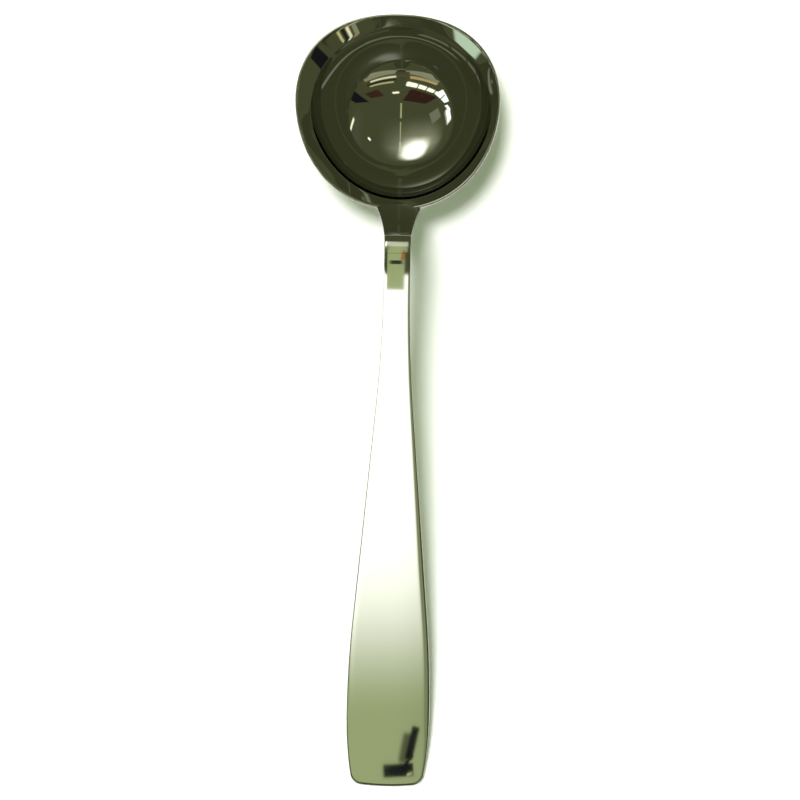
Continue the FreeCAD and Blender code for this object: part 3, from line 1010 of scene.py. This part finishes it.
@dataclass
class Studio:
    """Light round the ladle and the camera above it.

    Lengths are in metres, those of the lens and the sensor in millimetres, angles in degrees.
    """

    lens: float = 115.38
    distance: float = 0.985
    tilt: float = 8.8
    roll: float = 1.2
    target: tuple[float, float, float] = (0.0033, -0.0029, 0.028)
    sensor: float = 36.0
    clip_start: float = 0.05
    sun_strength: float = 2.9
    sun_spread: float = 14.0
    sun_lean: float = -9.0

    def camera(self) -> bpy.types.Object:
        """Hangs the camera nearly straight above the ladle.

        Returns:
            The scene's camera.
        """
        data = bpy.data.cameras.new("camera")
        data.lens = self.lens
        data.sensor_width = self.sensor
        data.clip_start = self.clip_start
        camera = bpy.data.objects.new("camera", data)
        bpy.context.scene.collection.objects.link(camera)
        tilt = math.radians(self.tilt)
        back = Vector((0.0, -math.sin(tilt), math.cos(tilt)))
        turned = Matrix.Rotation(math.radians(self.roll), 4, "Z")
        aim = Euler((tilt, 0.0, 0.0)).to_matrix().to_4x4() @ turned
        camera.matrix_world = Matrix.Translation(Vector(self.target) + back * self.distance) @ aim
        bpy.context.scene.camera = camera
        return camera

    def key_light(self) -> bpy.types.Object:
        """Hangs a soft lamp almost overhead, a little to the left.

        Returns:
            The lamp.
        """
        data = bpy.data.lights.new("overhead light", "SUN")
        data.energy = self.sun_strength
        data.angle = math.radians(self.sun_spread)
        lamp = bpy.data.objects.new("overhead light", data)
        bpy.context.scene.collection.objects.link(lamp)
        lamp.rotation_euler = (0.0, math.radians(self.sun_lean), 0.0)
        lamp.visible_glossy = False
        return lamp

    def cards(self) -> list[bpy.types.Object]:
        """Hangs the cards that the handle, the neck and the bowl reflect.

        Returns:
            The cards, the long one over the handle first.
        """
        # sheet of light along the handle, its fade and the dark marks at the end's corner
        long_card = Card(
            "long_card", (-0.62, -0.395), (0.30, -0.035), 0.33, (1.9, 1.95, 1.75),
            (Patch((0.0, -0.42), (0.9, 0.162), (0.49, 0.58, 0.28), 0.13, 3.0),
             Patch((0.215, -0.22), (0.165, 0.5), (0.30, 0.34, 0.17), 0.10),
             Patch((0.0150, -0.345), (0.0040, 0.0115), (0.12, 0.14, 0.07), 0.004, -10.0),
             Patch((0.0200, -0.341), (0.0030, 0.0125), (0.008, 0.009, 0.012), 0.001, -12.0),
             Patch((0.0170, -0.355), (0.0012, 0.0060), (0.008, 0.009, 0.012), 0.001, -40.0),
             Patch((0.0095, -0.3620), (0.0120, 0.0050), (0.008, 0.009, 0.012), 0.001, 4.0),
             Patch((0.0185, -0.3645), (0.0022, 0.0008), (0.9, 0.95, 0.4), 0.0008, 25.0)))
        # light that the neck reflects as its grey-green, with an orange streak and a dark bar
        strip_card = Card(
            "strip_card", (-0.0066, -0.0432), (0.0056, 0.105), 0.328, (0.50, 0.60, 0.28),
            (Patch((0.0050, 0.060), (0.0012, 0.06), (0.50, 0.20, 0.05), 0.0015, -1.0),
             Patch((-0.0002, -0.0126), (0.0042, 0.0110), (0.04, 0.05, 0.03), 0.003)))
        # hides the white floor from the neck
        back_card = Card(
            "back_card", (-0.40, 0.0), (0.40, 0.046), 0.26, OLIVE,
            (Patch((0.0, 0.02), (0.002, 0.02), (0.3, 0.3, 0.2), 0.002),), hang=Hang.UPRIGHT)
        # panels, bars and windows in the upper half of the bowl
        bowl_screen = Card(
            "bowl_screen", (-0.30, 0.057), (0.30, 0.20), 0.0485, OLIVE,
            (Patch((0.045, 0.058), (0.034, 0.0060), (0.34, 0.36, 0.21), 0.002, 4.0),
             Patch((-0.045, 0.058), (0.033, 0.0060), (0.34, 0.36, 0.21), 0.002, -4.0),
             Patch((0.0, 0.0662), (0.09, 0.0010), (0.20, 0.10, 0.03), 0.001),
             Patch((0.038, 0.0700), (0.028, 0.0022), (1.1, 1.15, 0.75), 0.002, 3.0),
             Patch((0.046, 0.0840), (0.030, 0.0020), (0.75, 0.72, 0.35), 0.002, 3.0),
             Patch((0.046, 0.0770), (0.036, 0.0020), (0.02, 0.02, 0.015), 0.002, 3.0),
             Patch((0.085, 0.125), (0.030, 0.018), (0.06, 0.028, 0.018), 0.008, 10.0),
             Patch((0.220, 0.130), (0.070, 0.055), (0.012, 0.012, 0.014), 0.01),
             Patch((0.015, 0.122), (0.009, 0.004), (1.9, 1.8, 1.3), 0.004, 8.0),
             Patch((-0.046, 0.0690), (0.032, 0.0035), (0.62, 0.50, 0.22), 0.002),
             Patch((-0.064, 0.0950), (0.055, 0.0065), (2.0, 2.1, 1.5), 0.004, -8.0),
             Patch((-0.170, 0.118), (0.070, 0.016), (2.2, 2.4, 2.1), 0.006, -22.0),
             Patch((-0.035, 0.094), (0.0015, 0.012), (0.05, 0.05, 0.02), 0.002),
             Patch((-0.060, 0.098), (0.0020, 0.012), (0.05, 0.05, 0.02), 0.002),
             Patch((-0.092, 0.100), (0.0030, 0.014), (0.05, 0.05, 0.02), 0.003),
             Patch((-0.150, 0.115), (0.0050, 0.020), (0.05, 0.05, 0.03), 0.004, 10.0),
             Patch((-0.066, 0.150), (0.054, 0.036), (0.045, 0.020, 0.012), 0.006, -12.0)),
            hang=Hang.UPRIGHT,
            later=(Patch((0.060, 0.138), (0.095, 0.007), (0.42, 0.52, 0.38), 0.012),))
        return [card.build() for card in (long_card, strip_card, bowl_screen, back_card)]

    def surroundings(self) -> bpy.types.World:
        """Paints the room that the steel reflects.

        Returns:
            The scene's world.
        """
        world = bpy.data.worlds.new("room")
        world.use_nodes = True
        tree = world.node_tree
        place = tree.nodes.new("ShaderNodeTexCoord")
        split = tree.nodes.new("ShaderNodeSeparateXYZ")
        tree.links.new(place.outputs["Generated"], split.inputs[0])
        painter = PatchPainter(tree, split.outputs["X"], split.outputs["Y"])
        height = painter.reckon("MAXIMUM", split.outputs["Z"], LOWEST)
        painter.across = painter.reckon("DIVIDE", split.outputs["X"], height)
        painter.along = painter.reckon("DIVIDE", split.outputs["Y"], height)
        seen = painter.dulled(painter.lay(OLIVE, ROOM), ROOM_DEPTH)
        tree.links.new(seen, tree.nodes["Background"].inputs["Color"])
        bpy.context.scene.world = world
        return world


def main() -> None:
    """Builds the ladle, the floor and the studio in order."""
    logging.basicConfig(level=logging.INFO)
    bpy.context.scene.view_settings.view_transform = "Standard"
    ladle = Ladle().build()
    LOG.info("%s: %d faces", ladle.name, len(ladle.data.polygons))
    floor = Floor().build()
    LOG.info("%s laid", floor.name)
    studio = Studio()
    for thing in (studio.camera(), studio.key_light(), *studio.cards(), studio.surroundings()):
        LOG.info("%s placed", thing.name)


if __name__ == "__main__":
    main()
